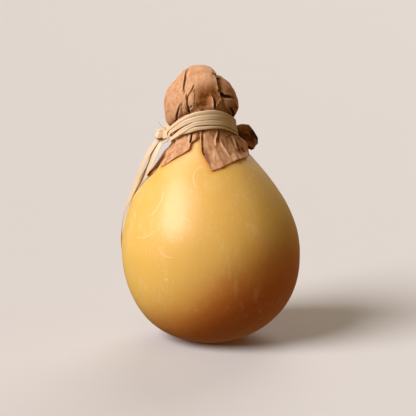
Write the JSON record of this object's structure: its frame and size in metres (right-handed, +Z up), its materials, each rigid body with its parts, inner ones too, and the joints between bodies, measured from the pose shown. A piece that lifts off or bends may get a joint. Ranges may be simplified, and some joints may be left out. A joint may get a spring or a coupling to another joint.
{
  "type": "manteca cheese",
  "caption": "Pear-shaped stretched-curd cheese standing on a small flat spot, its head wrapped in brown kraft paper that flares below a raffia tie with a side knot and long loose ends.",
  "frame": {"origin": "middle of the small flat spot that the cheese stands on", "axes": "+Z up through the wrapped head, -Y towards the side the picture shows, +X to that side's right"},
  "size_m": [0.0991, 0.0984, 0.1519],
  "materials": {
    "rind": "smooth waxy rind, slightly see-through",
    "kraft_paper": "matte, crumpled",
    "raffia": "dry palm fibre, faint sheen along the grain"
  },
  "bodies": {
    "root": {"cheese": "rind", "paper_wrap": "kraft_paper", "tie_turn_top": "raffia", "tie_turn_wide": "raffia", "tie_turn_lower": "raffia", "tie_turn_foot": "raffia", "tie_knot": "raffia", "tail_outer": "raffia", "tail_inner": "raffia"}
  },
  "joints": []
}
